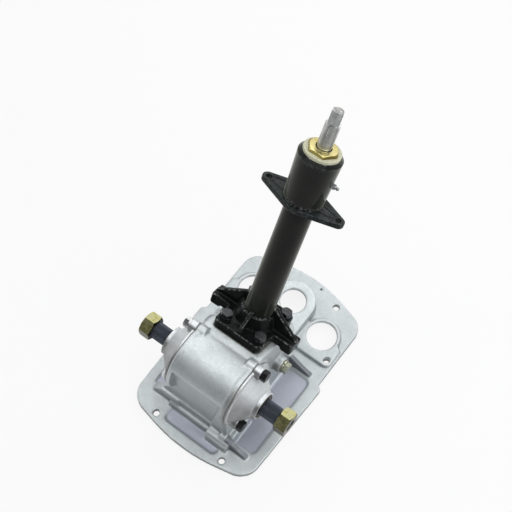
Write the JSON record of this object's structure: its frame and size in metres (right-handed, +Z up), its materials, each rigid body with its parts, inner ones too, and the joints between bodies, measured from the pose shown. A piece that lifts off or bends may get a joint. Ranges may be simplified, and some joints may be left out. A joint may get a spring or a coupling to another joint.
{
  "type": "steering gearbox",
  "caption": "Manual tractor steering gearbox: cast top-cover housing with a cross barrel, splined rocker shaft ends with hex nuts, and a raked column with a serrated wheel shaft.",
  "frame": {"origin": "on the underside of the base plate, straight below the middle of the rocker shaft", "axes": "+X to the right of the tractor along the rocker shaft, +Y to the rear, +Z up"},
  "size_m": [0.3094, 0.4308, 0.5733],
  "materials": {
    "silver_paint": "aluminium paint over rough casting",
    "silver_cover": "aluminium paint",
    "gasket": "oiled gasket paper",
    "silver_bolt": "aluminium paint",
    "black_bolt": "black oxide",
    "bronze": "machined bronze",
    "seal": "pressed steel case",
    "dark_steel": "dark oiled steel",
    "yellow_zinc": "yellow zinc plate",
    "nut_steel": "ground steel",
    "ball_steel": "polished bearing steel",
    "cup_steel": "ground steel",
    "shaft_steel": "bright turned steel",
    "shim": "shim paper",
    "gloss_black": "gloss black paint",
    "cream": "moulded washer",
    "brass": "turned brass",
    "plug_steel": "aluminium paint",
    "copper": "copper washer"
  },
  "bodies": {
    "housing": {"gear_housing": "silver_paint", "side_cover_left": "silver_cover", "side_cover_right": "silver_cover", "cover_gasket_left": "gasket", "cover_gasket_right": "gasket", "cover_bolts_left": "silver_bolt", "cover_bolts_right": "black_bolt", "cover_washers_left": "silver_bolt", "cover_washers_right": "black_bolt", "rocker_bush_left": "bronze", "rocker_bush_right": "bronze", "rocker_seal_left": "seal", "rocker_seal_right": "seal", "thrust_washers": "bronze", "upper_bearing_cup": "cup_steel", "upper_bearing_balls": "ball_steel", "lower_bearing_cup": "cup_steel", "lower_bearing_balls": "ball_steel", "column_shim": "shim", "column_base": "gloss_black", "column_bolts": "black_bolt", "column_washers": "black_bolt", "column_tube": "gloss_black", "panel_flange": "gloss_black", "column_sleeve": "gloss_black", "upper_bush": "bronze", "dust_washer": "cream", "bush_nut": "brass", "grease_nipple": "yellow_zinc", "filler_plug": "plug_steel", "plug_washer": "copper"},
    "rocker": {"rocker_shaft": "dark_steel", "rocker_nut_left": "yellow_zinc", "rocker_nut_right": "yellow_zinc"},
    "nut": {"ball_nut": "nut_steel", "nut_balls": "ball_steel", "return_tube": "nut_steel", "tube_clamp": "nut_steel", "clamp_screws": "nut_steel"},
    "steering": {"steering_shaft": "shaft_steel"}
  },
  "joints": [
    {"name": "rocker_turn", "type": "hinge", "parent": "housing", "child": "rocker", "pos_m": [0, 0, 0.144], "axis": [1, 0, 0], "range_deg": [-32, 32]},
    {"name": "nut_slide", "type": "slide", "parent": "housing", "child": "nut", "axis": [0, 0.4617, 0.887], "range_m": [-0.0258, 0.0258]},
    {"name": "steering_turn", "type": "hinge", "parent": "housing", "child": "steering", "pos_m": [0, 0.07203, 0.10651], "axis": [0, 0.4617, 0.887], "range_deg": [-580, 580]}
  ],
  "couplings": [
    {"joint": "nut_slide", "follows": "rocker_turn", "m_per_rad": 0.046},
    {"joint": "steering_turn", "follows": "rocker_turn", "ratio": -18.064}
  ]
}
